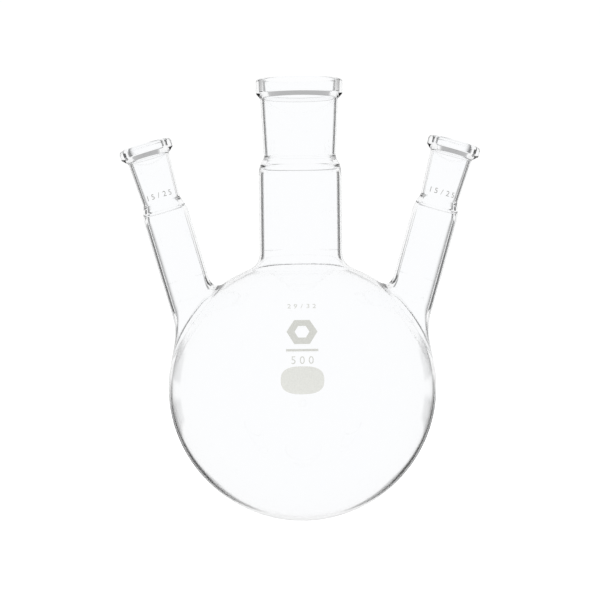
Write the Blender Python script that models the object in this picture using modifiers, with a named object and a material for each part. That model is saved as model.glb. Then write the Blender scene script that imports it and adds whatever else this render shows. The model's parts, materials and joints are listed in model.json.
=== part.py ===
"""Three-neck round-bottom flask of borosilicate glass, 500 ml, with ground-joint sockets.

Metres, +Z up along the centre neck, origin at the lowest point of the ball.
The two side necks lean outward in the XZ plane, and the fired enamel marks face -Y.
"""

import math

import bmesh
import bpy
from mathutils import Matrix, Vector

# Ball: a half sphere below its middle, and a slightly flatter half ellipsoid above it
BALL_DIAMETER = 0.106
BALL_RISE = 0.0503  # from the ball's middle to where its top would be without the centre neck
BALL_WALL = 0.0015

# Centre neck: its joint is size 29/32, which is 29.2 mm wide at the mouth and 32 mm long
CENTRE_MOUTH = 0.0292
CENTRE_JOINT_LENGTH = 0.032
CENTRE_TUBE_DIAMETER = 0.0325
CENTRE_TUBE_WALL = 0.0013
CENTRE_RIM_DIAMETER = 0.0342
CENTRE_RIM_HEIGHT = 0.0055
CENTRE_TOP = 0.1738
CENTRE_ROOT_REACH = 0.0040  # from the corner of ball and tube to each end of the fillet there

# Side necks: their joints are size 15/25, 15 mm wide at the mouth and 25 mm long
SIDE_MOUTH = 0.0150
SIDE_JOINT_LENGTH = 0.025
SIDE_TUBE_DIAMETER = 0.0180
SIDE_TUBE_WALL = 0.0014
SIDE_RIM_DIAMETER = 0.0211
SIDE_RIM_HEIGHT = 0.0036
SIDE_TOP = 0.0998  # along the neck's axis, from the height of the ball's centre
SIDE_ROOT_REACH = 0.0060
SIDE_SPREAD = 0.0335  # from the flask's axis to the neck's axis, at the height of the ball's centre
SIDE_TILT = math.radians(16.15)

# What all three necks share
TAPER = 1 / 10  # change of a ground joint's diameter with length
SOCKET_WALL = 0.0011
RIM_CHAMFER = 0.0019  # height of the slope under a rim
RIM_ROUND = 0.0005
WELD_LENGTH = 0.0020  # from the narrow end of a joint down to the weld with its tube
WELD_FLARE = 0.0015  # above and below that end, where the socket opens out to the bead of the weld
WELD_STEP = 0.0005  # how far the bead of the weld stays inside the tube's outer radius
SHOULDER_LENGTH = 0.0042  # where the tube's top closes in to the socket
COLLAR_LENGTH = 0.0016  # straight tube that stays on the ball above a root fillet
SEAM_GAP = 0.0003
ROOT_SINK = 0.0004  # the end of a root fillet lies this far inside the ball's surface
ROOT_FOOT = 0.8  # its foot lies at this share of the ball's radius, inside the solid

# Fired enamel, laid on the front of the glass
ENAMEL_GAP = 0.0003
ENAMEL_THICKNESS = 0.00015
SPOT_SIZE = (0.0161, 0.0103)
SPOT_POWER = 2.7  # of the superellipse: 2 is an ellipse, and more is nearer to a rectangle
SPOT_ELEVATION = math.radians(5.5)
CAPACITY_HEIGHT = 0.0029
CAPACITY_PITCH = 0.0033
CAPACITY_ELEVATION = math.radians(13.6)
BAR_SIZE = (0.0120, 0.0009)
BAR_ELEVATION = math.radians(17.7)
EMBLEM_DIAMETER = 0.0116
EMBLEM_HOLE = 0.0056
EMBLEM_ELEVATION = math.radians(25.8)
SIZE_MARK_HEIGHT = 0.0021
SIZE_MARK_PITCH = 0.0024
SIZE_MARK_ELEVATION = math.radians(38.2)
SIDE_MARK_RISE = 0.0040  # from the narrow end of a side joint to the middle of its mark

# Facets
LARGE_STEPS = 48
SMALL_STEPS = 32
BALL_STEPS = 20
FILLET_STEPS = 4
EDGE_STEPS = 2
SPOT_STEPS = 32
SPOT_RINGS = 4
EMBLEM_SIDE_STEPS = 3
EMBLEM_RINGS = 2
BAR_STEPS = 8
CHARACTER_STEPS = 2
SAME_POINT = 0.0001  # corners of a character nearer than this, before it is scaled, are one

GLASS_COLOUR = (0.96, 0.98, 0.98, 1.0)
ENAMEL_COLOUR = (0.62, 0.62, 0.58, 1.0)

BALL_RADIUS = BALL_DIAMETER / 2
BALL_CENTRE = Vector((0.0, 0.0, BALL_RADIUS))


# ---------------------------------------------------------------- scene helpers


def clear_scene():
    for item in list(bpy.data.objects):
        bpy.data.objects.remove(item, do_unlink=True)


def new_collection(name):
    group = bpy.data.collections.new(name)
    bpy.context.scene.collection.children.link(group)
    return group


def new_material(name, colour, roughness, transmission):
    material = bpy.data.materials.new(name)
    material.use_nodes = True
    shader = material.node_tree.nodes["Principled BSDF"]
    shader.inputs["Base Color"].default_value = colour
    shader.inputs["Roughness"].default_value = roughness
    shader.inputs["Transmission Weight"].default_value = transmission
    shader.inputs["IOR"].default_value = 1.473
    material.diffuse_color = colour
    return material


def add_object(name, mesh, group, frame=None):
    item = bpy.data.objects.new(name, mesh)
    item.matrix_world = frame or Matrix()
    group.objects.link(item)
    return item


def hide_as_cutter(item):
    item.hide_render = True
    item.display_type = "WIRE"


def add_boolean(item, operation, other):
    modifier = item.modifiers.new(operation.title(), "BOOLEAN")
    modifier.operation = operation
    modifier.solver = "EXACT"
    modifier.object = other


# ---------------------------------------------------------------- turned shapes


def arc(centre, radius, start, end, steps):
    """Points on a circle of the XZ plane, with angles in degrees from +X towards +Z, ends included."""
    angles = [math.radians(start + (end - start) * i / steps) for i in range(steps + 1)]
    return [(centre[0] + radius * math.cos(a), centre[1] + radius * math.sin(a)) for a in angles]


def turned(name, profile, closed, steps, group, frame=None):
    """Turns a profile of (radius, height) points about Z: down the outer side, then up the inner one."""
    edges = [(i, i + 1) for i in range(len(profile) - 1)]
    if closed:
        edges.append((len(profile) - 1, 0))
    mesh = bpy.data.meshes.new(name)
    mesh.from_pydata([(x, 0.0, z) for x, z in profile], edges, [])
    item = add_object(name, mesh, group, frame)
    screw = item.modifiers.new("Screw", "SCREW")
    screw.angle = math.tau
    screw.steps = screw.render_steps = steps
    screw.use_merge_vertices = True
    screw.merge_threshold = 0.00001
    screw.use_smooth_shade = True
    return item


# ---------------------------------------------------------------- necks


class Neck:
    """The sizes of one neck, measured along its own axis from the height of the ball's centre."""

    def __init__(self, name, frame, mouth, joint_length, tube_diameter, tube_wall, rim, top, steps):
        self.name = name
        self.frame = frame
        self.mouth_radius = mouth / 2
        self.joint_length = joint_length
        self.tube_radius = tube_diameter / 2
        self.bore_radius = tube_diameter / 2 - tube_wall
        self.rim_radius = rim[0] / 2
        self.rim_height = rim[1]
        self.top = top
        self.steps = steps
        self.end_radius = self.mouth_radius - TAPER / 2 * joint_length
        self.joint_end = top - joint_length
        self.weld = self.joint_end - WELD_LENGTH
        self.weld_radius = self.tube_radius - WELD_STEP
        self.weld_bore = (self.end_radius + self.bore_radius) / 2

    def socket_radius(self, height):
        """Outer radius of the tapered wall of the socket at a height."""
        return self.mouth_radius - TAPER / 2 * (self.top - height) + SOCKET_WALL


def centre_neck():
    return Neck(
        "centre",
        Matrix.Translation(BALL_CENTRE),
        CENTRE_MOUTH,
        CENTRE_JOINT_LENGTH,
        CENTRE_TUBE_DIAMETER,
        CENTRE_TUBE_WALL,
        (CENTRE_RIM_DIAMETER, CENTRE_RIM_HEIGHT),
        CENTRE_TOP - BALL_RADIUS,
        LARGE_STEPS,
    )


def side_neck(name, side):
    """A side neck leaning towards -X (side -1) or +X (side 1)."""
    foot = Matrix.Translation(BALL_CENTRE + Vector((side * SIDE_SPREAD, 0, 0)))
    return Neck(
        name,
        foot @ Matrix.Rotation(side * SIDE_TILT, 4, "Y"),
        SIDE_MOUTH,
        SIDE_JOINT_LENGTH,
        SIDE_TUBE_DIAMETER,
        SIDE_TUBE_WALL,
        (SIDE_RIM_DIAMETER, SIDE_RIM_HEIGHT),
        SIDE_TOP,
        SMALL_STEPS,
    )


def socket_profile(neck):
    """The outer side runs from the rim down to the weld, and the ground taper runs back up inside."""
    rim_foot = neck.top - neck.rim_height
    chamfer_foot = rim_foot - RIM_CHAMFER
    corner = (neck.rim_radius - RIM_ROUND, neck.top - RIM_ROUND)
    waist = neck.joint_end + WELD_FLARE
    return [
        *reversed(arc(corner, RIM_ROUND, 0, 90, EDGE_STEPS)),
        (neck.rim_radius, rim_foot),
        (neck.socket_radius(chamfer_foot), chamfer_foot),
        (neck.socket_radius(waist), waist),
        (neck.weld_radius, neck.joint_end - WELD_FLARE),
        (neck.weld_radius, neck.weld),
        (neck.weld_bore, neck.weld),
        (neck.end_radius, neck.joint_end),
        (neck.mouth_radius, neck.top),
    ]


def shoulder(radius, end_radius, end, steps):
    """A quarter wave from the end radius, at the end height, down to a tube's full radius."""
    points = []
    for i in range(steps + 1):
        turn = math.pi / 2 * i / steps
        reach = (radius - end_radius) * math.sin(turn)
        points.append((end_radius + reach, end - SHOULDER_LENGTH * (1 - math.cos(turn))))
    return points


def tube_profile(neck, foot):
    """A straight tube from its foot up to the weld, closed in at the top to meet the socket."""
    top = neck.weld - SEAM_GAP
    outer = shoulder(neck.tube_radius, neck.weld_radius, top, FILLET_STEPS)
    inner = shoulder(neck.bore_radius, neck.weld_bore, top, FILLET_STEPS)
    return [*outer, (neck.tube_radius, foot), (neck.bore_radius, foot), *reversed(inner)]


def add_neck(neck, collar_top, glass, group):
    """The tube and the socket of one neck, as two turned pieces in the neck's own frame."""
    shapes = {"socket": socket_profile(neck), "neck": tube_profile(neck, collar_top + SEAM_GAP)}
    for kind, profile in shapes.items():
        item = turned(f"{neck.name}_{kind}", profile, True, neck.steps, group, neck.frame)
        item.data.materials.append(glass)


# ---------------------------------------------------------------- ball


class Skin:
    """The outer or the inner surface of the ball, at some depth below the outer one."""

    def __init__(self, depth):
        self.radius = BALL_RADIUS - depth
        self.rise = BALL_RISE - depth
        self.stretch = Vector((1, 1, self.radius / self.rise))

    def meets(self, start, direction):
        """The point where a line from inside the ball leaves it through its upper half."""
        origin = (start - BALL_CENTRE) * self.stretch
        along = direction * self.stretch
        half, square = origin.dot(along), along.dot(along)
        root = math.sqrt(half**2 - square * (origin.dot(origin) - self.radius**2))
        return start + direction * (root - half) / square

    def normal(self, point):
        return ((point - BALL_CENTRE) * self.stretch * self.stretch).normalized()

    def under(self, point):
        """The point just inside the surface, on the line from the ball's centre through another point."""
        direction = (point - BALL_CENTRE).normalized()
        return self.meets(BALL_CENTRE, direction) - direction * ROOT_SINK


def root_line(skin, neck, radius, reach, angle):
    """A curve from a tube's wall, round the root fillet and on to the ball, at one angle round the neck."""
    axis = neck.frame.col[2].to_3d()
    outward = neck.frame.to_3x3() @ Vector((math.cos(angle), math.sin(angle), 0))
    joint = skin.meets(neck.frame.translation + outward * radius, axis)
    normal = skin.normal(joint)
    along = outward * normal.dot(axis) - axis * normal.dot(outward)
    up = joint + axis * reach
    beside = skin.under(joint + along.normalized() * reach)
    shares = [i / FILLET_STEPS for i in range(FILLET_STEPS + 1)]
    return [up * (1 - t) ** 2 + joint * (2 * t * (1 - t)) + beside * t**2 for t in shares]


def ball_profile(skin, neck, radius, reach, top):
    """From the axis at the top of the centre collar, down its side and the ball, to the lowest point."""
    root = [point - BALL_CENTRE for point in root_line(skin, neck, radius, reach, 0)]
    start = math.asin(root[-1].z / skin.rise)
    belly = []
    for i in range(1, BALL_STEPS):
        turn = start - (start + math.pi / 2) * i / BALL_STEPS
        height = skin.rise if turn > 0 else skin.radius
        belly.append((skin.radius * math.cos(turn), height * math.sin(turn)))
    return [(0, top), (radius, top), *[(p.x, p.z) for p in root], *belly, (0, -skin.radius)]


def rooted_tube(name, skin, neck, radius, reach, top, group):
    """A solid side tube that flares into the ball: a loft from its round top to its foot in the ball."""
    shape = bmesh.new()
    lines = []
    for i in range(neck.steps):
        angle = math.tau * i / neck.steps
        wall = neck.frame @ Vector((radius * math.cos(angle), radius * math.sin(angle), top))
        root = root_line(skin, neck, radius, reach, angle)
        foot = BALL_CENTRE.lerp(root[-1], ROOT_FOOT)
        lines.append([shape.verts.new(point) for point in (wall, *root, foot)])
    rings = list(zip(*lines))
    for upper, lower in zip(rings, rings[1:]):
        for i in range(neck.steps):
            j = (i + 1) % neck.steps
            shape.faces.new((upper[i], lower[i], lower[j], upper[j]))
    shape.faces.new(rings[0])
    middle = shape.verts.new(sum((v.co for v in rings[-1]), Vector()) / neck.steps)
    for i in range(neck.steps):
        shape.faces.new((rings[-1][i], middle, rings[-1][(i + 1) % neck.steps]))
    bmesh.ops.recalc_face_normals(shape, faces=shape.faces)
    mesh = bpy.data.meshes.new(name)
    shape.to_mesh(mesh)
    shape.free()
    item = add_object(name, mesh, group)
    hide_as_cutter(item)
    return item


def collar_top(neck, reach):
    """The height along the neck just above the highest point of its root fillet."""
    skin = Skin(0)
    angles = [math.tau * i / neck.steps for i in range(neck.steps)]
    lines = [root_line(skin, neck, neck.tube_radius, reach, angle) for angle in angles]
    inverse = neck.frame.inverted()
    return max((inverse @ line[0]).z for line in lines) + COLLAR_LENGTH


def add_bulb(centre, sides, tops, glass, group, cutters):
    """The ball with its three collars, less the space inside, which runs out through each collar."""
    outer, inner = Skin(0), Skin(BALL_WALL)
    profile = ball_profile(outer, centre, centre.tube_radius, CENTRE_ROOT_REACH, tops[centre.name])
    bulb = turned("bulb", profile, False, LARGE_STEPS, group, centre.frame)
    past = tops[centre.name] + COLLAR_LENGTH
    profile = ball_profile(inner, centre, centre.bore_radius, CENTRE_ROOT_REACH, past)
    space = turned("ball_space", profile, False, LARGE_STEPS, cutters, centre.frame)
    hide_as_cutter(space)
    for neck in sides:
        top = tops[neck.name]
        past = top + COLLAR_LENGTH
        name = f"{neck.name}_root"
        root = rooted_tube(name, outer, neck, neck.tube_radius, SIDE_ROOT_REACH, top, cutters)
        name = f"{neck.name}_bore"
        bore = rooted_tube(name, inner, neck, neck.bore_radius, SIDE_ROOT_REACH, past, cutters)
        add_boolean(bulb, "UNION", root)
        add_boolean(space, "UNION", bore)
    add_boolean(bulb, "DIFFERENCE", space)
    bulb.data.materials.append(glass)


# ---------------------------------------------------------------- enamel marks


def ball_place(elevation):
    """Maps a flat mark's (across, up) onto the ball, with its middle at an elevation on the front."""

    skin = Skin(0)

    def place(across, up):
        height = elevation + up / BALL_RADIUS
        turn = across / (BALL_RADIUS * math.cos(height))
        level = math.cos(height)
        direction = Vector((level * math.sin(turn), -level * math.cos(turn), math.sin(height)))
        point = skin.meets(BALL_CENTRE, direction)
        return point + skin.normal(point) * ENAMEL_GAP

    return place


def socket_place(neck, middle):
    """Maps a flat mark's (across, up) onto the front of a socket, at a height along the neck."""

    def place(across, up):
        radius = neck.socket_radius(middle + up) + ENAMEL_GAP
        turn = across / radius
        point = Vector((radius * math.sin(turn), -radius * math.cos(turn), middle + up))
        return neck.frame @ point

    return place


def lay_enamel(name, mesh, place, enamel, group):
    """Bends a flat mesh onto the glass and thickens it outward."""
    for vertex in mesh.vertices:
        vertex.co = place(vertex.co.x, vertex.co.y)
    mesh.name = name
    mesh.materials.clear()
    mesh.materials.append(enamel)
    item = add_object(name, mesh, group)
    solidify = item.modifiers.new("Solidify", "SOLIDIFY")
    solidify.thickness = ENAMEL_THICKNESS
    solidify.offset = 1.0


def character_mesh(character, height, shift):
    """One character as a flat mesh, its middle at the shift across and at no height."""
    text = bpy.data.curves.new("character", "FONT")
    text.body = character
    text.resolution_u = CHARACTER_STEPS
    writer = bpy.data.objects.new("character", text)
    bpy.context.scene.collection.objects.link(writer)
    evaluated = writer.evaluated_get(bpy.context.evaluated_depsgraph_get())
    mesh = bpy.data.meshes.new_from_object(evaluated)
    bpy.data.objects.remove(writer, do_unlink=True)
    bpy.data.curves.remove(text)
    shape = bmesh.new()
    shape.from_mesh(mesh)
    bmesh.ops.remove_doubles(shape, verts=shape.verts, dist=SAME_POINT)
    xs = [v.co.x for v in shape.verts]
    ys = [v.co.y for v in shape.verts]
    scale = height / (max(ys) - min(ys))
    for vertex in shape.verts:
        vertex.co.x = (vertex.co.x - (min(xs) + max(xs)) / 2) * scale + shift
        vertex.co.y = (vertex.co.y - (min(ys) + max(ys)) / 2) * scale
    shape.to_mesh(mesh)
    shape.free()
    return mesh


def add_text(name, text, height, pitch, place, enamel, group):
    """A line of characters, each a node of its own, numbered from the left."""
    for i, character in enumerate(text):
        shift = (i - (len(text) - 1) / 2) * pitch
        mesh = character_mesh(character, height, shift)
        lay_enamel(f"{name}_{i + 1}", mesh, place, enamel, group)


def finish_patch(shape):
    mesh = bpy.data.meshes.new("patch")
    shape.to_mesh(mesh)
    shape.free()
    return mesh


def ringed_mesh(outline, rings, innermost, filled):
    """Flat rings of one outline, from its full size down to a share of it, with or without a middle."""
    shape = bmesh.new()
    shares = [1 + (innermost - 1) * i / rings for i in range(rings + 1)]
    loops = [[shape.verts.new((x * share, y * share, 0)) for x, y in outline] for share in shares]
    for outer, inner in zip(loops, loops[1:]):
        for i in range(len(outline)):
            j = (i + 1) % len(outline)
            shape.faces.new((outer[i], outer[j], inner[j], inner[i]))
    if filled:
        shape.faces.new(loops[-1])
    return finish_patch(shape)


def spot_mesh():
    """A rounded oblong: a superellipse between an ellipse and a rectangle."""
    outline = []
    for i in range(SPOT_STEPS):
        turn = math.tau * i / SPOT_STEPS
        x, y = math.cos(turn), math.sin(turn)
        size = (abs(x) ** SPOT_POWER + abs(y) ** SPOT_POWER) ** (-1 / SPOT_POWER)
        outline.append((x * size * SPOT_SIZE[0] / 2, y * size * SPOT_SIZE[1] / 2))
    return ringed_mesh(outline, SPOT_RINGS - 1, 1 / SPOT_RINGS, True)


def emblem_mesh():
    """A hexagon standing on a side, with a hexagonal hole."""
    corners = [math.radians(60 * i) for i in range(6)]
    points = [Vector((math.cos(a), math.sin(a))) * EMBLEM_DIAMETER / 2 for a in corners]
    outline = []
    for point, following in zip(points, [*points[1:], points[0]]):
        outline += [point.lerp(following, k / EMBLEM_SIDE_STEPS) for k in range(EMBLEM_SIDE_STEPS)]
    return ringed_mesh(outline, EMBLEM_RINGS, EMBLEM_HOLE / EMBLEM_DIAMETER, False)


def bar_mesh():
    """A thin bar, divided along its length so that it can bend round the ball."""
    shape = bmesh.new()
    bmesh.ops.create_grid(shape, x_segments=BAR_STEPS, y_segments=1, size=0.5)
    for vertex in shape.verts:
        vertex.co.x *= BAR_SIZE[0]
        vertex.co.y *= BAR_SIZE[1]
    return finish_patch(shape)


def add_marks(sides, enamel, group):
    for name, mesh, elevation in (
        ("marking_spot", spot_mesh(), SPOT_ELEVATION),
        ("name_bar", bar_mesh(), BAR_ELEVATION),
        ("emblem", emblem_mesh(), EMBLEM_ELEVATION),
    ):
        lay_enamel(name, mesh, ball_place(elevation), enamel, group)
    place = ball_place(CAPACITY_ELEVATION)
    add_text("capacity", "500", CAPACITY_HEIGHT, CAPACITY_PITCH, place, enamel, group)
    place = ball_place(SIZE_MARK_ELEVATION)
    add_text("centre_size", "29/32", SIZE_MARK_HEIGHT, SIZE_MARK_PITCH, place, enamel, group)
    for neck in sides:
        place = socket_place(neck, neck.joint_end + SIDE_MARK_RISE)
        name = f"{neck.name}_size"
        add_text(name, "15/25", SIZE_MARK_HEIGHT, SIZE_MARK_PITCH, place, enamel, group)


# ---------------------------------------------------------------- flask


def main():
    clear_scene()
    flask = new_collection("round_bottom_flask")
    cutters = new_collection("cutters")
    glass = new_material("borosilicate_glass", GLASS_COLOUR, 0.0, 1.0)
    enamel = new_material("fired_enamel", ENAMEL_COLOUR, 0.55, 0.0)
    centre = centre_neck()
    sides = [side_neck("left", -1), side_neck("right", 1)]
    tops = {neck.name: collar_top(neck, SIDE_ROOT_REACH) for neck in sides}
    tops[centre.name] = collar_top(centre, CENTRE_ROOT_REACH)
    add_bulb(centre, sides, tops, glass, flask, cutters)
    for neck in (centre, *sides):
        add_neck(neck, tops[neck.name], glass, flask)
    add_marks(sides, enamel, flask)


main()
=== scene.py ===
import json
import math

import bmesh
import bpy
import numpy as np
from mathutils import Matrix, Vector


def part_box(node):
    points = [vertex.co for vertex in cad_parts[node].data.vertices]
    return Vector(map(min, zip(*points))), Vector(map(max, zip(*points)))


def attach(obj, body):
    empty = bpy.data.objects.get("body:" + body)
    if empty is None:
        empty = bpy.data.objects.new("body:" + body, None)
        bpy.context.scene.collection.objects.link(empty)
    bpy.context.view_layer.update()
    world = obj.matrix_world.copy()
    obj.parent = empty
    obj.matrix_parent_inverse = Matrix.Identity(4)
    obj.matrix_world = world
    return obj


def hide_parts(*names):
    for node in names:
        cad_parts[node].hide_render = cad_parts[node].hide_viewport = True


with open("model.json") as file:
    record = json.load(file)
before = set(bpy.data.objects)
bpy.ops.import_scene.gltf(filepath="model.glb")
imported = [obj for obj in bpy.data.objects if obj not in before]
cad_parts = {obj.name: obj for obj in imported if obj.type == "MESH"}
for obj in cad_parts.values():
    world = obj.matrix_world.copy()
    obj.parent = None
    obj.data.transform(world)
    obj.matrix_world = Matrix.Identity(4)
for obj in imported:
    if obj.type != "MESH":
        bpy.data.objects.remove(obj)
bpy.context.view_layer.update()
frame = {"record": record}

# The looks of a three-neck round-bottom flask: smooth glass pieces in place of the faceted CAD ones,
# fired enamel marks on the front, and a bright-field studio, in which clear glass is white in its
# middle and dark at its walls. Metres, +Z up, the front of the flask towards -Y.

# ---------------------------------------------------------------- sizes of the glass

BALL_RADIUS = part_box("bulb")[1][1]
BALL_CENTRE = Vector((0, 0, BALL_RADIUS))
BALL_WALL = 0.0015
BALL_RISE = 0.0503  # the ball is a half sphere below its middle and a flatter half ellipsoid above it
ROOT_HEIGHT = 0.006  # height above the ball's centre at which a neck's tube begins inside the ball
TAPER = 1 / 10
SOCKET_WALL = 0.0011
RIM_CHAMFER = 0.0019
WELD_LENGTH = 0.0020
WELD_FLARE = 0.0015
WELD_STEP = 0.0005
SHOULDER_LENGTH = 0.0042
SEAM = 0.00001  # half of the gap between two glass pieces at a weld

RIM_FOOT_ROUND = 0.0010
CHAMFER_ROUND = 0.0008
FLARE_ROUND = 0.0030
WELD_ROUND = 0.0015
JOINT_END_ROUND = 0.0020
MOUTH_ROUND = 0.0004

SIZES = {
    "centre": {
        "mouth": 0.0292,
        "joint": 0.032,
        "tube": 0.0325,
        "wall": 0.0013,
        "rim": 0.0342,
        "rim_height": 0.0055,
        "rim_round": 0.0007,
        "blend": 0.0048,
    },
    "side": {
        "mouth": 0.0150,
        "joint": 0.025,
        "tube": 0.0180,
        "wall": 0.0014,
        "rim": 0.0211,
        "rim_height": 0.0036,
        "rim_round": 0.0013,
        "blend": 0.0065,
    },
}

# ---------------------------------------------------------------- fineness of the glass meshes

TURN_STEPS = 128
ROUND_STEPS = 6
ROUND_SHARE = 0.45  # share of the shorter edge beside a corner that its rounding may take
STRAIGHT = math.radians(89.5)  # a corner whose half angle is over this is left as it is
SUPPORT_LIMIT = 0.0002
SUPPORT_SHARE = 0.2  # a point this share of the limit past each rounding keeps its shading in place
SHOULDER_STEPS = 16
SHARP_ANGLE = math.radians(35)
SAME_PLACE = 1e-7  # heights and points closer than this count as one
AT_SEAM = 1e-6  # a flat face this close to a seam's height lies in it
VOXEL = 0.0014
ROUGH_BALL_DETAIL = 5
ROUGH_TUBE_SIDES = 64
ROUGH_PAST = 0.006  # how far the rough tubes run past their seams
ROUGH_END = 2 * VOXEL  # length of the uneven end that the remesh leaves on a rough tube
SLOPE_STEP = 1e-5  # half of the span over which a distance's slope is measured
SWEEPS = 4  # how often the ball's mesh is moved onto the smooth surface
SWEEP_MOVES = 3  # moves along the slope in each sweep
EVENING = 0.5  # strength of the smoothing between sweeps
COLLAR_WIDTH = 1.3  # a neck's collar is looked for this many tube radii from its axis
COLLAR_DEPTH = 0.004  # and this far below its seam

# ---------------------------------------------------------------- sizes of the marks

MARK_GAP = 0.00003
MARK_THICKNESS = 0.00005
MARK_EDGE = 0.0008  # a longer edge of a flat mark is divided
MARK_DIVISIONS = 3
SPOT_SIZE = (0.0161, 0.0103)
SPOT_POWER = 2.7  # 2 makes an ellipse, and a larger power comes nearer a rectangle
SPOT_POINTS = 96
SPOT_RINGS = 12
EMBLEM_DIAMETER = 0.0116
EMBLEM_HOLE = 0.0056
EMBLEM_SIDES = 6
EMBLEM_SIDE_POINTS = 8
EMBLEM_RINGS = 4
BAR_SIZE = (0.0120, 0.0009)
BAR_CELLS = (24, 2)
CAPACITY_HEIGHT = 0.0029
CAPACITY_PITCH = 0.0033
SIZE_MARK_HEIGHT = 0.0021
SIZE_MARK_PITCH = 0.0024
SIDE_MARK_RISE = 0.0040
FONT_DETAIL = 8
FONT_MERGE = 0.0001

# ---------------------------------------------------------------- materials

GLASS_IOR = 1.473
GLASS_TINTS = ((0.985, 0.99, 1.0, 1.0), (0.995, 0.998, 1.0, 1.0))
WAVE_SCALE, WAVE_DETAIL = 45.0, 1.0
WAVE_STRENGTH, WAVE_DEPTH = 0.02, 0.001
HAZE_SCALE, HAZE_DETAIL = 220.0, 4.0
HAZE_RANGE = (0.45, 0.75)  # noise values where the roughness begins and is full
HAZE_ROUGHNESS = 0.012

SPOT_COLOUR = (0.68, 0.685, 0.65)
PRINT_COLOUR = (0.60, 0.605, 0.57)
DARK_PRINT_COLOUR = (0.33, 0.33, 0.32)
ENAMEL_ROUGHNESS = 0.55
GRAIN_SCALE, GRAIN_DETAIL = 2200.0, 3.0
GRAIN_STRENGTH, GRAIN_DEPTH = 0.3, 0.00002
GRAIN_RAMP = ((0.3, 0.94), (0.7, 1.04))  # noise value, and share of the colour there

FLOOR_SIZE = 40.0
FLOOR_DROP = 0.0002
FLOOR_COLOUR = (0.9, 0.9, 0.9, 1)
FLOOR_ROUGHNESS = 0.8
FLOOR_GLOW = 0.35
WHITE = (1, 1, 1, 1)

# ---------------------------------------------------------------- camera and light

CAMERA_PLACE = Vector((-0.0006, -0.760, 0.096))
CAMERA_AIM = Vector((-0.0006, 0.0, 0.087))
CAMERA_ROLL = math.radians(0.65)
CAMERA_LENS = 115.4
CAMERA_NEAR = 0.01
MOST_BOUNCES = 32
GLASS_BOUNCES = 24
SEAM_BOUNCES = 16

BACKDROP = 1.03  # brightness seen straight, through the glass and in a reflection
THROUGH_GLASS = 1.0
REFLECTED = 0.97
FLAG_DARKNESS = 0.99
CEILING_DARKNESS = 0.57
TOP_DARKNESS = 0.7

# Where the dark flags lie, in parts of a ray's unit direction: y is away from the camera, z is up, turn
# is how far it points off the nearer level axis, and bend is that and its downward slope together. Each
# pair is where a smooth step begins and ends, and a pair of pairs is a band: its step up and its step down.
# The flags are placed for a view from the front. A level diagonal ray counts as bent even where the glass
# doesn't bend it, so from most low diagonal views the necks look dark.
COUNT_MARGIN = 0.5
SMALLEST_LENGTH = 0.001
LEVEL_SLOPE = 0.05
NECK_STEP = (-0.05, -0.01)
INSIDE_BALL, INSIDE_NECKS = (0.20, 0.50), (0.32, 0.42)
WALL_OF_BALL, WALL_OF_NECKS = (0.33, 0.40), (0.46, 0.54)
WALL_FORWARD = (0.61, 0.69)
STRICT_FORWARD = (0.84, 0.90)  # in the strict bands below, a ray has to point further forward
STRICT_BALL_BAND = ((-0.13, -0.08), (-0.03, 0.02))
STRICT_RIM_STEP = (0.22, 0.28)
BEHIND_STEP = (-0.1, 0.1)
BEHIND_DROP = 0.15  # keeps the middle flag out of a view towards +X and -Y, and of no other
MIDDLE_FOOT, MIDDLE_TOP = (-0.26, -0.22), (0.14, 0.23)
LOW_TURN = ((0.12, 0.20), (0.48, 0.56))
LOW_HEIGHT = ((-0.52, -0.44), (-0.17, -0.12))
CEILING_HEIGHT = ((0.33, 0.40), (0.52, 0.58))
TOP_HEIGHT = (0.62, 0.72)
GRAZING_TURN = ((0.16, 0.24), (0.48, 0.56))
GRAZING_FORWARD = (0.75, 0.85)
GRAZING_HEIGHT = ((-0.46, -0.38), (-0.12, -0.04))


def add_piece(name, mesh):
    item = bpy.data.objects.new(name, mesh)
    bpy.context.scene.collection.objects.link(item)
    return item


# ---------------------------------------------------------------- turned glass


def rounded(corners):
    """A closed outline of (radius, height) points from corners of (radius, height, rounding)."""
    outline = []
    count = len(corners)
    for i, (radius, height, size) in enumerate(corners):
        here = np.array((radius, height))
        before = np.array(corners[i - 1][:2]) - here
        after = np.array(corners[(i + 1) % count][:2]) - here
        outline += rounded_corner(here, before, after, size)
    return outline


def rounded_corner(here, before, after, size):
    """The points of one corner, given the way to the corner before it and to the one after it."""
    lengths = np.linalg.norm(before), np.linalg.norm(after)
    before, after = before / lengths[0], after / lengths[1]
    half = math.acos(max(-1.0, min(1.0, float(before @ after)))) / 2
    if size == 0 or half > STRAIGHT:
        return [here]
    reach = min(size / math.tan(half), ROUND_SHARE * min(lengths))
    radius = reach * math.tan(half)
    middle = here + (before + after) / np.linalg.norm(before + after) * radius / math.sin(half)
    start, end = here + before * reach - middle, here + after * reach - middle
    sweep = math.atan2(start[0] * end[1] - start[1] * end[0], float(start @ end))
    past = reach + min(reach, SUPPORT_LIMIT) * SUPPORT_SHARE
    points = [here + before * past]
    for k in range(ROUND_STEPS + 1):
        a = sweep * k / ROUND_STEPS
        turn = np.array(((math.cos(a), -math.sin(a)), (math.sin(a), math.cos(a))))
        points.append(middle + turn @ start)
    points.append(here + after * past)
    return points


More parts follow.
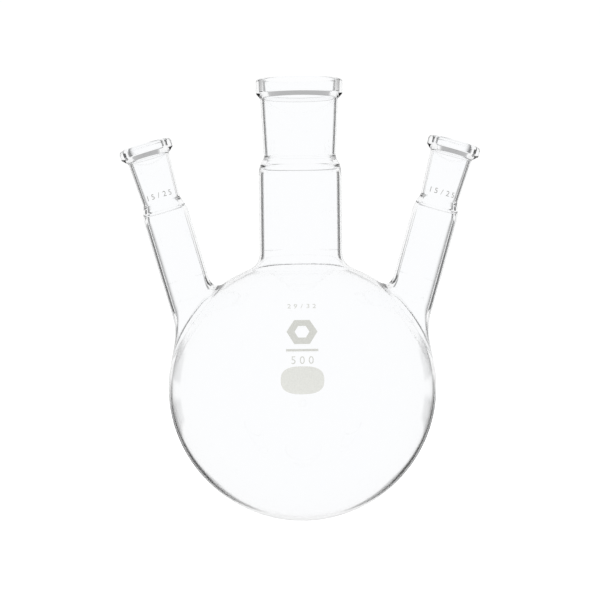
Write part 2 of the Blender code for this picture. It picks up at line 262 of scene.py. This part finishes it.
def turned(name, outline, frame_matrix, seams):
    """A closed outline turned about its axis. Faces lying in a seam's height take the second material."""
    angles = np.arange(TURN_STEPS) * math.tau / TURN_STEPS
    rings = [
        np.column_stack((r * np.cos(angles), r * np.sin(angles), np.full(TURN_STEPS, z)))
        for r, z in outline
    ]
    mesh = bpy.data.meshes.new(name)
    mesh.from_pydata(np.concatenate(rings), [], turned_faces(len(outline)))
    for face in mesh.polygons:
        heights = [mesh.vertices[v].co.z for v in face.vertices]
        flat = max(heights) - min(heights) < SAME_PLACE
        at_seam = any(abs(heights[0] - seam) < AT_SEAM for seam in seams)
        face.material_index = 1 if flat and at_seam else 0
    mesh.transform(frame_matrix)
    mesh.shade_smooth()
    mesh.set_sharp_from_angle(angle=SHARP_ANGLE)
    return add_piece(name, mesh)


def turned_faces(count):
    """Four-sided faces between each ring of points and the next, and from the last to the first."""
    faces = []
    for i in range(count):
        here, there = i * TURN_STEPS, (i + 1) % count * TURN_STEPS
        for a in range(TURN_STEPS):
            b = (a + 1) % TURN_STEPS
            faces.append((here + a, there + a, there + b, here + b))
    return faces


# ---------------------------------------------------------------- necks


class Neck:
    """One neck in a frame of its own: its mouth at height 0, its axis along +Z, the flask's front at -Y."""

    def __init__(self, name, sizes):
        mount = next(m for m in frame["record"]["mounts"] if m["name"] == f"{name}_joint_face")
        axis = Vector(mount["axis"]).normalized()
        across = Vector((0, 1, 0)).cross(axis)
        place = Vector((mount["pos_m"][0], 0, mount["pos_m"][2]))
        self.matrix = Matrix((across, (0, 1, 0), axis)).transposed().to_4x4()
        self.matrix.translation = place
        self.name = name
        self.sizes = sizes
        self.mouth = sizes["mouth"] / 2
        self.tube = sizes["tube"] / 2
        self.bore = self.tube - sizes["wall"]
        self.rim = sizes["rim"] / 2
        self.end = self.mouth - TAPER / 2 * sizes["joint"]
        self.weld = -sizes["joint"] - WELD_LENGTH
        self.weld_radius = self.tube - WELD_STEP
        self.weld_bore = (self.end + self.bore) / 2
        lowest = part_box(f"{name}_neck")[0][2] + self.tube * abs(axis.x)
        self.foot = (lowest - place.z) / axis.z
        self.blend = sizes["blend"]

    def socket_radius(self, height):
        return self.mouth + TAPER / 2 * height + SOCKET_WALL


def socket_outline(neck):
    """Down the rim and the tapered wall to the bead of the weld, and back up the ground taper."""
    rim_foot = -neck.sizes["rim_height"]
    chamfer = rim_foot - RIM_CHAMFER
    joint_end = -neck.sizes["joint"]
    flare = joint_end + WELD_FLARE
    bottom = neck.weld + SEAM
    return rounded(
        [
            (neck.rim, 0.0, neck.sizes["rim_round"]),
            (neck.rim, rim_foot, RIM_FOOT_ROUND),
            (neck.socket_radius(chamfer), chamfer, CHAMFER_ROUND),
            (neck.socket_radius(flare), flare, FLARE_ROUND),
            (neck.weld_radius, joint_end - WELD_FLARE, WELD_ROUND),
            (neck.weld_radius, bottom, 0),
            (neck.weld_bore, bottom, 0),
            (neck.end, joint_end, JOINT_END_ROUND),
            (neck.mouth, 0.0, MOUTH_ROUND),
        ]
    )


def shoulder(radius, end_radius, end):
    """A quarter wave from the end radius, at the end height, down to a tube's full radius."""
    turns = [math.pi / 2 * i / SHOULDER_STEPS for i in range(SHOULDER_STEPS + 1)]
    reach = radius - end_radius
    return [
        np.array((end_radius + reach * math.sin(t), end - SHOULDER_LENGTH * (1 - math.cos(t))))
        for t in turns
    ]


def tube_outline(neck):
    """A tube from the ball's collar up to the weld, necked in at the top to meet the socket."""
    top, foot = neck.weld - SEAM, neck.foot + SEAM
    outer = shoulder(neck.tube, neck.weld_radius, top)
    inner = shoulder(neck.bore, neck.weld_bore, top)
    return [*outer, np.array((neck.tube, foot)), np.array((neck.bore, foot)), *reversed(inner)]


# ---------------------------------------------------------------- ball with its flared roots


def soft_min(a, b, size):
    """The smaller of two distances, rounded where they are within size of each other."""
    h = np.clip(size - np.abs(a - b), 0, None) / size
    return np.minimum(a, b) - h * h * size / 4


def ball_distance(points, necks, inset):
    """Distance from the surface of the ball and its tubes, taken inset deep into the glass."""
    depth = inset(None)
    local = points - np.array(BALL_CENTRE)
    rises = np.where(local[:, 2] > 0, BALL_RISE - depth, BALL_RADIUS - depth)
    halves = np.column_stack((np.full((len(points), 2), BALL_RADIUS - depth), rises))
    share = np.linalg.norm(local / halves, axis=1)
    result = (share - 1) * share / np.linalg.norm(local / halves**2, axis=1)
    for neck in necks:
        axis = np.array(neck.matrix.col[2][:3])
        start = np.array(neck.matrix.translation)
        along = np.maximum((points - start) @ axis, root_height(neck))
        tube = np.linalg.norm(points - start - along[:, None] * axis, axis=1)
        result = soft_min(result, tube - (neck.tube - inset(neck)), neck.blend + inset(neck))
    return result


def root_height(neck):
    """Where a neck's tube begins inside the ball, as a height along the neck's own axis."""
    return (BALL_RADIUS + ROOT_HEIGHT - neck.matrix.translation.z) / neck.matrix.col[2].z


def outer_inset(neck):
    return 0.0


def inner_inset(neck):
    return neck.sizes["wall"] if neck else BALL_WALL


def gradient(points, necks, inset):
    parts = []
    for axis in np.eye(3) * SLOPE_STEP:
        ahead = ball_distance(points + axis, necks, inset)
        parts.append((ahead - ball_distance(points - axis, necks, inset)) / (2 * SLOPE_STEP))
    return np.column_stack(parts)


def rough_solid(necks, inset):
    """A ball and three tubes joined by a fine remesh, each tube ending a little past its seam."""
    shape = bmesh.new()
    bmesh.ops.create_icosphere(
        shape,
        subdivisions=ROUGH_BALL_DETAIL,
        radius=BALL_RADIUS - inset(None),
        matrix=Matrix.Translation(BALL_CENTRE),
    )
    for neck in necks:
        top = neck.foot + ROUGH_PAST
        length = top - root_height(neck)
        bmesh.ops.create_cone(
            shape,
            cap_ends=True,
            segments=ROUGH_TUBE_SIDES,
            radius1=neck.tube - inset(neck),
            radius2=neck.tube - inset(neck),
            depth=length,
            matrix=neck.matrix @ Matrix.Translation((0, 0, top - length / 2)),
        )
    mesh = bpy.data.meshes.new("rough")
    shape.to_mesh(mesh)
    shape.free()
    item = add_piece("rough", mesh)
    remesh = item.modifiers.new("Remesh", "REMESH")
    remesh.mode = "VOXEL"
    remesh.voxel_size = VOXEL
    evaluated = item.evaluated_get(bpy.context.evaluated_depsgraph_get())
    result = bpy.data.meshes.new_from_object(evaluated)
    bpy.data.objects.remove(item, do_unlink=True)
    return result


def project(shape, necks, inset):
    """Moves every vertex onto the smooth surface, evening the mesh out before all but the last sweep."""
    for sweep in range(SWEEPS):
        if sweep < SWEEPS - 1:
            bmesh.ops.smooth_vert(
                shape,
                verts=shape.verts,
                factor=EVENING,
                use_axis_x=True,
                use_axis_y=True,
                use_axis_z=True,
            )
        points = np.array([v.co[:] for v in shape.verts])
        for _ in range(SWEEP_MOVES):
            slope = gradient(points, necks, inset)
            distance = ball_distance(points, necks, inset)
            points -= slope * (distance / (slope * slope).sum(axis=1))[:, None]
        for vertex, point in zip(shape.verts, points):
            vertex.co = point


def ball_skin(necks, inset):
    """One surface of the ball, open at the three seams, with each seam's edge as a loop."""
    mesh = rough_solid(necks, inset)
    shape = bmesh.new()
    shape.from_mesh(mesh)
    bpy.data.meshes.remove(mesh)
    caps = []
    for neck in necks:
        axis = neck.matrix.col[2].to_3d()
        limit = neck.matrix @ Vector((0, 0, neck.foot + ROUGH_PAST - ROUGH_END))
        caps += [v for v in shape.verts if (v.co - limit).dot(axis) > 0 and near_axis(v.co, neck)]
    bmesh.ops.delete(shape, geom=list(set(caps)), context="VERTS")
    project(shape, necks, inset)
    for neck in necks:
        cut_at_seam(shape, neck)
    return shape


def cut_at_seam(shape, neck):
    """Cuts off what stands past a neck's seam, in the neck's own collar only."""
    items = (*shape.verts, *shape.edges, *shape.faces)
    bmesh.ops.bisect_plane(
        shape,
        geom=[item for item in items if near_axis(middle(item), neck)],
        plane_co=neck.matrix @ Vector((0, 0, neck.foot - SEAM)),
        plane_no=neck.matrix.col[2].to_3d(),
        clear_outer=True,
        dist=SAME_PLACE,
    )


def middle(item):
    if isinstance(item, bmesh.types.BMVert):
        return item.co
    return sum((v.co for v in item.verts), Vector()) / len(item.verts)


def near_axis(point, neck):
    """True beside a neck's own collar, so that a cut for one neck leaves the others alone."""
    local = neck.matrix.inverted() @ point
    beside = math.hypot(local.x, local.y) < neck.tube * COLLAR_WIDTH
    return beside and local.z > neck.foot - COLLAR_DEPTH


def make_bulb(necks):
    """The outer and the inner skin of the ball, joined by a flat ring at each seam."""
    shape = ball_skin(necks, outer_inset)
    inner = ball_skin(necks, inner_inset)
    bmesh.ops.reverse_faces(inner, faces=inner.faces)
    hollow = bpy.data.meshes.new("hollow")
    inner.to_mesh(hollow)
    inner.free()
    shape.from_mesh(hollow)
    bpy.data.meshes.remove(hollow)
    close_seams(shape, necks)
    normals = glass_normals(shape, necks)
    mesh = bpy.data.meshes.new("bulb_glass")
    shape.to_mesh(mesh)
    shape.free()
    mesh.shade_smooth()
    mesh.normals_split_custom_set_from_vertices([tuple(n) for n in normals])
    return add_piece("bulb_glass", mesh)


def close_seams(shape, necks):
    """Joins the two skins by a ring of faces at each seam, in the second material."""
    shape.verts.ensure_lookup_table()
    open_edges = [e for e in shape.edges if e.is_boundary]
    for neck in necks:
        ring = [e for e in open_edges if near_axis(middle(e), neck)]
        made = bmesh.ops.bridge_loops(shape, edges=ring)
        for face in made["faces"]:
            face.material_index = 1


def glass_normals(shape, necks):
    """Unit normals of the smooth surface, each taken from the skin that its vertex lies on."""
    points = np.array([v.co[:] for v in shape.verts])
    out_of_outer = np.abs(ball_distance(points, necks, outer_inset))
    out_of_inner = np.abs(ball_distance(points, necks, inner_inset))
    is_outer = (out_of_outer < out_of_inner)[:, None]
    outward, inward = gradient(points, necks, outer_inset), -gradient(points, necks, inner_inset)
    slopes = np.where(is_outer, outward, inward)
    return slopes / np.linalg.norm(slopes, axis=1)[:, None]


# ---------------------------------------------------------------- enamel marks


def ball_place(elevation):
    """Maps a flat mark's (across, up) onto the ball, with its middle at an elevation on the front."""

    def place(across, up):
        height = elevation + up / BALL_RADIUS
        turn = across / (BALL_RADIUS * math.cos(height))
        level, rise = math.cos(height), math.sin(height)
        reach = 1 / math.hypot(level / BALL_RADIUS, rise / (BALL_RISE if rise > 0 else BALL_RADIUS))
        reach += MARK_GAP
        return BALL_CENTRE + Vector((level * math.sin(turn), -level * math.cos(turn), rise)) * reach

    return place


def socket_place(neck, middle_height):
    """Maps a flat mark's (across, up) onto the front of a socket, with its middle at a height there."""

    def place(across, up):
        height = middle_height + up
        radius = neck.socket_radius(height) + MARK_GAP
        turn = across / radius
        return neck.matrix @ Vector((radius * math.sin(turn), -radius * math.cos(turn), height))

    return place


def elevation_of(*nodes):
    """The elevation on the ball of the middle of one or more CAD marks."""
    boxes = [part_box(node) for node in nodes]
    low = Vector(map(min, zip(*(b[0] for b in boxes))))
    high = Vector(map(max, zip(*(b[1] for b in boxes))))
    centre = (low + high) / 2 - BALL_CENTRE
    return math.atan2(centre.z, -centre.y)


def lay_mark(name, shape, place, material, node):
    """Divides a flat shape finely, bends it onto the glass and thickens it outward."""
    bmesh.ops.triangulate(shape, faces=shape.faces)
    for _ in range(MARK_DIVISIONS):
        long_edges = [e for e in shape.edges if e.calc_length() > MARK_EDGE]
        bmesh.ops.subdivide_edges(shape, edges=long_edges, cuts=1)
        bmesh.ops.triangulate(shape, faces=shape.faces)
    for vertex in shape.verts:
        vertex.co = place(vertex.co.x, vertex.co.y)
    mesh = bpy.data.meshes.new(name)
    shape.to_mesh(mesh)
    shape.free()
    mesh.materials.append(material)
    item = add_piece(name, mesh)
    solidify = item.modifiers.new("Solidify", "SOLIDIFY")
    solidify.thickness = MARK_THICKNESS
    solidify.offset = 1.0
    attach(item, "root")
    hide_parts(node)


def character_shape(character, height, shift):
    """One character as a flat shape of a given height, with its middle shifted along the line of text."""
    text = bpy.data.curves.new("character", "FONT")
    text.body = character
    text.resolution_u = FONT_DETAIL
    writer = add_piece("character", text)
    evaluated = writer.evaluated_get(bpy.context.evaluated_depsgraph_get())
    mesh = bpy.data.meshes.new_from_object(evaluated)
    bpy.data.objects.remove(writer, do_unlink=True)
    bpy.data.curves.remove(text)
    shape = bmesh.new()
    shape.from_mesh(mesh)
    bpy.data.meshes.remove(mesh)
    bmesh.ops.remove_doubles(shape, verts=shape.verts, dist=FONT_MERGE)
    xs = [v.co.x for v in shape.verts]
    ys = [v.co.y for v in shape.verts]
    scale = height / (max(ys) - min(ys))
    for vertex in shape.verts:
        vertex.co.x = (vertex.co.x - (min(xs) + max(xs)) / 2) * scale + shift
        vertex.co.y = (vertex.co.y - (min(ys) + max(ys)) / 2) * scale
    return shape


def lay_text(name, text, height, pitch, place, material):
    for i, character in enumerate(text):
        shift = (i - (len(text) - 1) / 2) * pitch
        shape = character_shape(character, height, shift)
        lay_mark(f"{name}_mark_{i + 1}", shape, place, material, f"{name}_{i + 1}")


def ringed_shape(outline, shares, filled):
    """Flat rings of one outline inside another, each a share of its size, with or without a middle."""
    shape = bmesh.new()
    loops = [[shape.verts.new((x * s, y * s, 0)) for x, y in outline] for s in shares]
    for outer, inner in zip(loops, loops[1:]):
        for i in range(len(outline)):
            j = (i + 1) % len(outline)
            shape.faces.new((outer[i], outer[j], inner[j], inner[i]))
    if filled:
        shape.faces.new(loops[-1])
    return shape


def spot_shape():
    """A filled shape between an ellipse and a rectangle."""
    outline = []
    for i in range(SPOT_POINTS):
        turn = math.tau * i / SPOT_POINTS
        x, y = math.cos(turn), math.sin(turn)
        size = (abs(x) ** SPOT_POWER + abs(y) ** SPOT_POWER) ** (-1 / SPOT_POWER)
        outline.append((x * size * SPOT_SIZE[0] / 2, y * size * SPOT_SIZE[1] / 2))
    return ringed_shape(outline, [1 - i / SPOT_RINGS for i in range(SPOT_RINGS)], True)


def emblem_shape():
    """A hexagon with a hexagonal hole."""
    corners = [math.tau * i / EMBLEM_SIDES for i in range(EMBLEM_SIDES)]
    points = [Vector((math.cos(a), math.sin(a))) * EMBLEM_DIAMETER / 2 for a in corners]
    outline = [
        points[i].lerp(points[(i + 1) % EMBLEM_SIDES], k / EMBLEM_SIDE_POINTS)
        for i in range(EMBLEM_SIDES)
        for k in range(EMBLEM_SIDE_POINTS)
    ]
    inward = EMBLEM_HOLE / EMBLEM_DIAMETER - 1
    shares = [1 + inward * i / EMBLEM_RINGS for i in range(EMBLEM_RINGS + 1)]
    return ringed_shape(outline, shares, False)


def bar_shape():
    """A grid one unit wide and high, stretched to the bar's size."""
    shape = bmesh.new()
    bmesh.ops.create_grid(shape, x_segments=BAR_CELLS[0], y_segments=BAR_CELLS[1], size=0.5)
    for vertex in shape.verts:
        vertex.co.x *= BAR_SIZE[0]
        vertex.co.y *= BAR_SIZE[1]
    return shape


# ---------------------------------------------------------------- materials


def new_nodes(name):
    material = bpy.data.materials.new(name)
    material.use_nodes = True
    return material, material.node_tree.nodes, material.node_tree.links


def add_noise(nodes, links, place, scale, detail):
    noise = nodes.new("ShaderNodeTexNoise")
    noise.inputs["Scale"].default_value = scale
    noise.inputs["Detail"].default_value = detail
    links.new(place.outputs["Object"], noise.inputs["Vector"])
    return noise.outputs["Fac"]


def add_bump(nodes, links, height, strength, distance):
    bump = nodes.new("ShaderNodeBump")
    bump.inputs["Strength"].default_value = strength
    bump.inputs["Distance"].default_value = distance
    links.new(height, bump.inputs["Height"])
    links.new(bump.outputs["Normal"], nodes["Principled BSDF"].inputs["Normal"])


def glass_material():
    """Clear borosilicate: very slight waves from drawing and blowing, and a trace of surface haze."""
    material, nodes, links = new_nodes("borosilicate_glass")
    shader = nodes["Principled BSDF"]
    shader.inputs["Transmission Weight"].default_value = 1.0
    shader.inputs["IOR"].default_value = GLASS_IOR
    place = nodes.new("ShaderNodeTexCoord")
    waves = add_noise(nodes, links, place, WAVE_SCALE, WAVE_DETAIL)
    haze = add_noise(nodes, links, place, HAZE_SCALE, HAZE_DETAIL)
    tint = nodes.new("ShaderNodeValToRGB")
    for element, colour in zip(tint.color_ramp.elements, GLASS_TINTS):
        element.color = colour
    rough = nodes.new("ShaderNodeMapRange")
    rough.inputs["From Min"].default_value = HAZE_RANGE[0]
    rough.inputs["From Max"].default_value = HAZE_RANGE[1]
    rough.inputs["To Min"].default_value = 0.0
    rough.inputs["To Max"].default_value = HAZE_ROUGHNESS
    add_bump(nodes, links, waves, WAVE_STRENGTH, WAVE_DEPTH)
    links.new(haze, tint.inputs["Fac"])
    links.new(tint.outputs["Color"], shader.inputs["Base Color"])
    links.new(haze, rough.inputs["Value"])
    links.new(rough.outputs["Result"], shader.inputs["Roughness"])
    return material


def seam_material():
    """The flat ends of two glass pieces that are fused: light passes straight through them."""
    material, nodes, links = new_nodes("fused_weld")
    nodes.remove(nodes["Principled BSDF"])
    clear = nodes.new("ShaderNodeBsdfTransparent")
    links.new(clear.outputs["BSDF"], nodes["Material Output"].inputs["Surface"])
    return material


def enamel_material(name, colour):
    """Fired ceramic enamel: matte, finely mottled, slightly grainy."""
    material, nodes, links = new_nodes(name)
    shader = nodes["Principled BSDF"]
    shader.inputs["Roughness"].default_value = ENAMEL_ROUGHNESS
    place = nodes.new("ShaderNodeTexCoord")
    grain = add_noise(nodes, links, place, GRAIN_SCALE, GRAIN_DETAIL)
    ramp = nodes.new("ShaderNodeValToRGB")
    for element, (position, share) in zip(ramp.color_ramp.elements, GRAIN_RAMP):
        element.position = position
        element.color = (*[c * share for c in colour], 1)
    links.new(grain, ramp.inputs["Fac"])
    links.new(ramp.outputs["Color"], shader.inputs["Base Color"])
    add_bump(nodes, links, grain, GRAIN_STRENGTH, GRAIN_DEPTH)
    return material


# ---------------------------------------------------------------- light


class Maths:
    """Chains of Math nodes in one node tree."""

    def __init__(self, tree):
        self.tree = tree

    def __call__(self, operation, *values):
        node = self.tree.nodes.new("ShaderNodeMath")
        node.operation = operation
        for socket, value in zip(node.inputs, values):
            if isinstance(value, (int, float)):
                socket.default_value = value
            else:
                self.tree.links.new(value, socket)
        return node.outputs["Value"]

    def rise(self, value, step):
        """0 below a step and 1 above it, smooth between its two ends."""
        node = self.tree.nodes.new("ShaderNodeMapRange")
        node.interpolation_type = "SMOOTHSTEP"
        self.tree.links.new(value, node.inputs["Value"])
        node.inputs["From Min"].default_value = step[0]
        node.inputs["From Max"].default_value = step[1]
        return node.outputs["Result"]

    def fall(self, value, step):
        """1 below a step and 0 above it, smooth between its two ends."""
        return self("SUBTRACT", 1.0, self.rise(value, step))

    def band(self, value, steps):
        """1 between two steps and 0 outside them."""
        return self("MULTIPLY", self.rise(value, steps[0]), self.fall(value, steps[1]))

    def is_count(self, value, count):
        """1 where a whole number is the count, and 0 elsewhere."""
        return self("COMPARE", value, count, COUNT_MARGIN)

    def all_of(self, first, *others):
        for other in others:
            first = self("MULTIPLY", first, other)
        return first

    def most_of(self, first, *others):
        for other in others:
            first = self("MAXIMUM", first, other)
        return first

    def blend(self, first, second, share):
        """The first value where the share is 0 and the second where it is 1."""
        kept = self("MULTIPLY", first, self("SUBTRACT", 1.0, share))
        return self("ADD", kept, self("MULTIPLY", second, share))


class Ray:
    """A light ray's direction, and what it has met, as sockets in the world's node tree."""

    def __init__(self, tree, maths):
        place = tree.nodes.new("ShaderNodeTexCoord")
        split = tree.nodes.new("ShaderNodeSeparateXYZ")
        tree.links.new(place.outputs["Generated"], split.inputs["Vector"])
        self.x, self.y, self.z = (split.outputs[name] for name in "XYZ")
        wide, deep = maths("ABSOLUTE", self.x), maths("ABSOLUTE", self.y)
        longer = maths.most_of(wide, deep, SMALLEST_LENGTH)
        self.turn = maths("DIVIDE", maths("MINIMUM", wide, deep), longer)
        down = maths("MINIMUM", maths("ADD", self.z, LEVEL_SLOPE), 0.0)
        squares = maths("MULTIPLY", self.turn, self.turn), maths("MULTIPLY", down, down)
        self.bend = maths("SQRT", maths("ADD", *squares))
        path = tree.nodes.new("ShaderNodeLightPath")
        self.reflections = path.outputs["Glossy Depth"]
        self.crossings = path.outputs["Transmission Depth"]


def inside_wall(maths, ray):
    """1 for a ray that went into the wall, was reflected once inside it and came out forwards."""
    once = maths.all_of(maths.is_count(ray.reflections, 1), maths.is_count(ray.crossings, 2))
    strict = maths("MAXIMUM", maths.band(ray.z, STRICT_BALL_BAND), maths.rise(ray.z, STRICT_RIM_STEP))
    barred = maths("MULTIPLY", strict, maths.fall(ray.y, STRICT_FORWARD))
    return maths.all_of(once, maths.rise(ray.y, WALL_FORWARD), maths("SUBTRACT", 1.0, barred))


def edge_share(maths, ray, in_wall):
    """1 for a ray bent as far as it is at the edges of the glass, which differs at ball and necks."""
    at_necks = maths.rise(ray.z, NECK_STEP)
    inside = maths.blend(maths.rise(ray.bend, INSIDE_BALL), maths.rise(ray.bend, INSIDE_NECKS), at_necks)
    wall = maths.blend(maths.rise(ray.bend, WALL_OF_BALL), maths.rise(ray.bend, WALL_OF_NECKS), at_necks)
    return maths.blend(inside, wall, in_wall)


def flags(maths, ray, edge):
    """How dark the flags are that a ray through the glass sees: the middle, low, ceiling and top ones."""
    behind = maths("MULTIPLY", maths.rise(ray.x, BEHIND_STEP), maths.fall(ray.y, BEHIND_STEP))
    foot = maths("SUBTRACT", ray.z, maths("MULTIPLY", behind, BEHIND_DROP))
    middle_flag = maths.all_of(edge, maths.rise(foot, MIDDLE_FOOT), maths.fall(ray.z, MIDDLE_TOP))
    low = maths.all_of(edge, maths.band(ray.turn, LOW_TURN), maths.band(ray.z, LOW_HEIGHT))
    ceiling = maths("MULTIPLY", maths.band(ray.z, CEILING_HEIGHT), CEILING_DARKNESS)
    top = maths("MULTIPLY", maths.rise(ray.z, TOP_HEIGHT), TOP_DARKNESS)
    return maths.most_of(middle_flag, low, ceiling, top)


def grazing_flag(maths, ray):
    """The flag that a ray reflected off the outside of the ball's lower edge sees."""
    sideways = maths("MULTIPLY", maths.band(ray.turn, GRAZING_TURN), maths.rise(ray.y, GRAZING_FORWARD))
    return maths.all_of(sideways, maths.band(ray.z, GRAZING_HEIGHT), maths.is_count(ray.crossings, 0))


def make_world():
    """A bright field with dark flags, which only rays that were bent or reflected on their way see."""
    world = bpy.data.worlds.new("studio")
    world.use_nodes = True
    bpy.context.scene.world = world
    tree = world.node_tree
    maths = Maths(tree)
    ray = Ray(tree, maths)
    in_wall = inside_wall(maths, ray)
    dark = flags(maths, ray, edge_share(maths, ray, in_wall))
    lit = maths("SUBTRACT", 1.0, maths("MULTIPLY", dark, FLAG_DARKNESS))
    through = maths("MULTIPLY", lit, THROUGH_GLASS)
    reflected = maths.blend(REFLECTED, REFLECTED * (1 - FLAG_DARKNESS), grazing_flag(maths, ray))
    sees_through = maths("MAXIMUM", in_wall, maths.is_count(ray.reflections, 0))
    light = maths.blend(reflected, through, sees_through)
    turned_aside = maths("MINIMUM", 1.0, maths("ADD", ray.crossings, ray.reflections))
    light = maths.blend(BACKDROP, light, turned_aside)
    background = tree.nodes["Background"]
    background.inputs["Color"].default_value = WHITE
    tree.links.new(light, background.inputs["Strength"])


# ---------------------------------------------------------------- floor and camera


def make_floor():
    """A plain white floor. Rays that were bent or reflected on their way see the bright field instead."""
    mesh = bpy.data.meshes.new("floor")
    shape = bmesh.new()
    bmesh.ops.create_grid(shape, x_segments=1, y_segments=1, size=FLOOR_SIZE)
    shape.to_mesh(mesh)
    shape.free()
    floor = add_piece("floor", mesh)
    floor.location.z = -FLOOR_DROP
    material, nodes, links = new_nodes("white_floor")
    shader = nodes["Principled BSDF"]
    shader.inputs["Base Color"].default_value = FLOOR_COLOUR
    shader.inputs["Roughness"].default_value = FLOOR_ROUGHNESS
    shader.inputs["Emission Color"].default_value = WHITE
    shader.inputs["Emission Strength"].default_value = FLOOR_GLOW
    floor.data.materials.append(material)
    floor.visible_transmission = False
    floor.visible_glossy = False


def make_camera():
    camera = add_piece("camera", bpy.data.cameras.new("camera"))
    camera.location = CAMERA_PLACE
    aim = (CAMERA_AIM - CAMERA_PLACE).to_track_quat("-Z", "Y").to_matrix()
    camera.rotation_euler = (aim @ Matrix.Rotation(-CAMERA_ROLL, 3, "Z")).to_euler()
    camera.data.lens = CAMERA_LENS
    camera.data.clip_start = CAMERA_NEAR
    bpy.context.scene.camera = camera


def set_view():
    scene = bpy.context.scene
    scene.view_settings.view_transform = "Standard"
    scene.cycles.transmission_bounces = GLASS_BOUNCES
    scene.cycles.transparent_max_bounces = SEAM_BOUNCES
    scene.cycles.max_bounces = MOST_BOUNCES
    scene.cycles.use_denoising = True


# ---------------------------------------------------------------- flask


def add_glass(item, node, glass, seam):
    item.visible_shadow = False
    item.visible_diffuse = False
    item.data.materials.append(glass)
    item.data.materials.append(seam)
    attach(item, "root")
    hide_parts(node)


def make_glass(necks):
    glass, seam = glass_material(), seam_material()
    add_glass(make_bulb(necks), "bulb", glass, seam)
    for neck in necks:
        ends = [neck.weld + SEAM]
        socket = turned(f"{neck.name}_socket_glass", socket_outline(neck), neck.matrix, ends)
        add_glass(socket, f"{neck.name}_socket", glass, seam)
        ends = [neck.weld - SEAM, neck.foot + SEAM]
        tube = turned(f"{neck.name}_neck_glass", tube_outline(neck), neck.matrix, ends)
        add_glass(tube, f"{neck.name}_neck", glass, seam)


def make_marks(side_necks):
    """The spot, the emblem, the bar and the figures on the ball, and the joint size on each side neck."""
    spot_enamel = enamel_material("enamel_spot", SPOT_COLOUR)
    ink = enamel_material("enamel_print", PRINT_COLOUR)
    dark_ink = enamel_material("enamel_print_dark", DARK_PRINT_COLOUR)
    marks = (
        ("marking_spot", spot_shape(), spot_enamel),
        ("emblem", emblem_shape(), ink),
        ("name_bar", bar_shape(), ink),
    )
    for node, shape, material in marks:
        lay_mark(f"{node}_enamel", shape, ball_place(elevation_of(node)), material, node)
    place = ball_place(elevation_of("capacity_1", "capacity_3"))
    lay_text("capacity", "500", CAPACITY_HEIGHT, CAPACITY_PITCH, place, ink)
    place = ball_place(elevation_of("centre_size_1", "centre_size_5"))
    lay_text("centre_size", "29/32", SIZE_MARK_HEIGHT, SIZE_MARK_PITCH, place, ink)
    for neck in side_necks:
        place = socket_place(neck, -neck.sizes["joint"] + SIDE_MARK_RISE)
        lay_text(f"{neck.name}_size", "15/25", SIZE_MARK_HEIGHT, SIZE_MARK_PITCH, place, dark_ink)


def main():
    side_necks = [Neck(name, SIZES["side"]) for name in ("left", "right")]
    make_glass([Neck("centre", SIZES["centre"]), *side_necks])
    make_marks(side_necks)
    make_world()
    make_floor()
    make_camera()
    set_view()


main()
